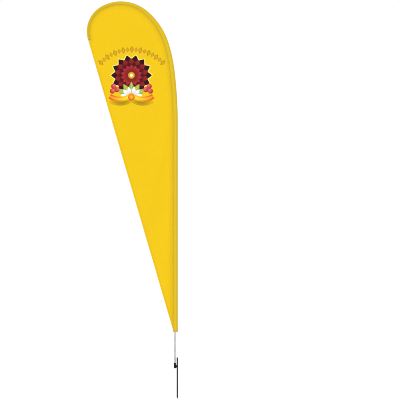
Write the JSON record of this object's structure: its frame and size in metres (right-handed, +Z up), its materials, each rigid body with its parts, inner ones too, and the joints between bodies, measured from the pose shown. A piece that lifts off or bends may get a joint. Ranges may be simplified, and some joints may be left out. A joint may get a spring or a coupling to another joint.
{
  "type": "teardrop flag",
  "caption": "Teardrop-shaped double-sided fabric flag whose sleeve bends a sectional pole, turning on a bearing hub beside a pointed steel ground stake.",
  "frame": {"origin": "where the ground stake's axis crosses the ground line, at the lower edge of the stake's depth groove", "axes": "+Z up along the stake and the pole; the flag lies in the XZ plane with its fabric towards -X; +Y is across the fabric's thickness"},
  "size_m": [0.9131, 0.0298, 3.9758],
  "materials": {
    "black_powder_coat": "satin",
    "stake_steel": "satin",
    "weld_metal": "satin",
    "bearing_steel": "polished",
    "spring_steel": "satin",
    "spindle_steel": "satin",
    "seal_rubber": "matte",
    "cage_plastic": "matte",
    "pole_aluminium": "satin",
    "white_fibreglass": "satin",
    "black_plastic": "matte",
    "yellow_knit": "matte",
    "sleeve_knit": "matte",
    "hem_knit": "matte",
    "blockout_cloth": "matte",
    "webbing": "matte"
  },
  "bodies": {
    "stake_and_hub": {"ground_stake": "stake_steel", "bracket_arm": "black_powder_coat", "weld_beads": "weld_metal", "bearing_housing": "black_powder_coat", "housing_end_cap": "black_plastic", "dust_seal": "seal_rubber", "lower_outer_race": "bearing_steel", "upper_outer_race": "bearing_steel"},
    "lower_cage": {"lower_ball_cage": "cage_plastic", "lower_balls": "bearing_steel"},
    "upper_cage": {"upper_ball_cage": "cage_plastic", "upper_balls": "bearing_steel"},
    "spindle": {"rotating_spindle": "spindle_steel", "lower_inner_race": "bearing_steel", "upper_inner_race": "bearing_steel", "bearing_spacer": "spindle_steel", "retaining_clip": "spring_steel", "spigot_o_rings": "seal_rubber"},
    "flag_and_pole": {"pole_section_1": "pole_aluminium", "pole_section_2": "pole_aluminium", "pole_section_3": "white_fibreglass", "pole_section_4": "white_fibreglass", "joint_collar_1": "black_plastic", "joint_collar_2": "black_plastic", "joint_collar_3": "black_plastic", "pole_tip_cap": "black_plastic", "anchor_stud": "spring_steel", "strap_hook": "black_plastic", "tension_strap": "webbing", "pole_sleeve": "sleeve_knit", "mouth_hem_band": "hem_knit", "tip_patch": "hem_knit", "front_panel": "yellow_knit", "blockout_liner": "blockout_cloth", "back_panel": "yellow_knit", "edge_hem": "yellow_knit"}
  },
  "joints": [
    {"name": "flag_swivel", "type": "hinge", "parent": "stake_and_hub", "child": "spindle", "pos_m": [-0.0235, 0, 0.033], "axis": [0, 0, 1], "continuous": true},
    {"name": "pole_lift", "type": "slide", "parent": "spindle", "child": "flag_and_pole", "axis": [0, 0, 1], "range_m": [0, 0.135]},
    {"name": "lower_cage_spin", "type": "hinge", "parent": "stake_and_hub", "child": "lower_cage", "pos_m": [-0.0235, 0, 0.0215], "axis": [0, 0, 1], "continuous": true},
    {"name": "upper_cage_spin", "type": "hinge", "parent": "stake_and_hub", "child": "upper_cage", "pos_m": [-0.0235, 0, 0.0485], "axis": [0, 0, 1], "continuous": true}
  ],
  "couplings": [
    {"joint": "lower_cage_spin", "follows": "flag_swivel", "ratio": 0.4207},
    {"joint": "upper_cage_spin", "follows": "flag_swivel", "ratio": 0.4207}
  ]
}
